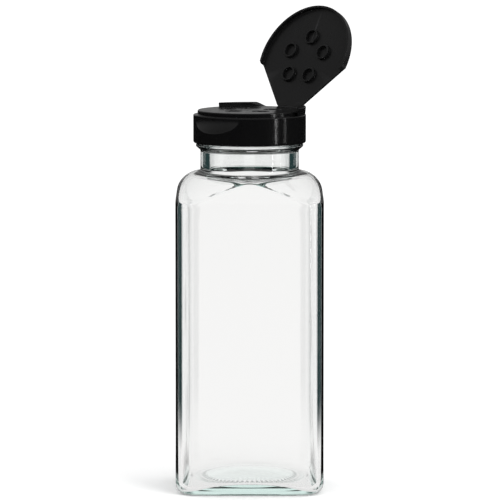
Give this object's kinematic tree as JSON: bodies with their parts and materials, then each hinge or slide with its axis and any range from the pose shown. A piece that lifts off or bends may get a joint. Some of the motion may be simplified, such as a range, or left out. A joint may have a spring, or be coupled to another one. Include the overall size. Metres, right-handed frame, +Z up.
{
  "type": "square glass spice jar",
  "caption": "Square clear glass jar with a black screw-on sifter cap, whose flip-up lid stands open on its living hinge.",
  "frame": {"origin": "on the jar's vertical axis, in the plane of the ring that the jar stands on", "axes": "+Z up along the jar's axis, -Y towards the front of the jar, +X to the right seen from the front"},
  "size_m": [0.0716, 0.0723, 0.1946],
  "materials": {
    "clear_glass": "clear flint glass, fire-polished, faint green at thick edges",
    "black_cap": "glossy moulded polypropylene",
    "black_lid": "glossy outside, satin inside",
    "seal": "soft white seal"
  },
  "bodies": {
    "jar": {"glass_jar": "clear_glass"},
    "seal": {"seal_ring": "seal"},
    "cap": {"cap_shell": "black_cap", "hinge_web": "black_lid"},
    "lid": {"flip_lid": "black_lid"}
  },
  "joints": [
    {"name": "cap_lift", "type": "slide", "parent": "jar", "child": "seal", "axis": [0, 0, 1], "range_m": [0, 0.0053]},
    {"name": "cap_turn", "type": "hinge", "parent": "seal", "child": "cap", "pos_m": [0, 0, 0.1465], "axis": [0, 0, 1], "range_deg": [0, 450]},
    {"name": "lid_flip", "type": "hinge", "parent": "cap", "child": "lid", "pos_m": [0.01532, 0.0162, 0.1539], "axis": [-0.7266, 0.6871, 0], "range_deg": [-118, 60], "deforming": ["hinge_web"]}
  ],
  "couplings": [
    {"joint": "cap_lift", "follows": "cap_turn", "m_per_rad": 0.00067322}
  ]
}
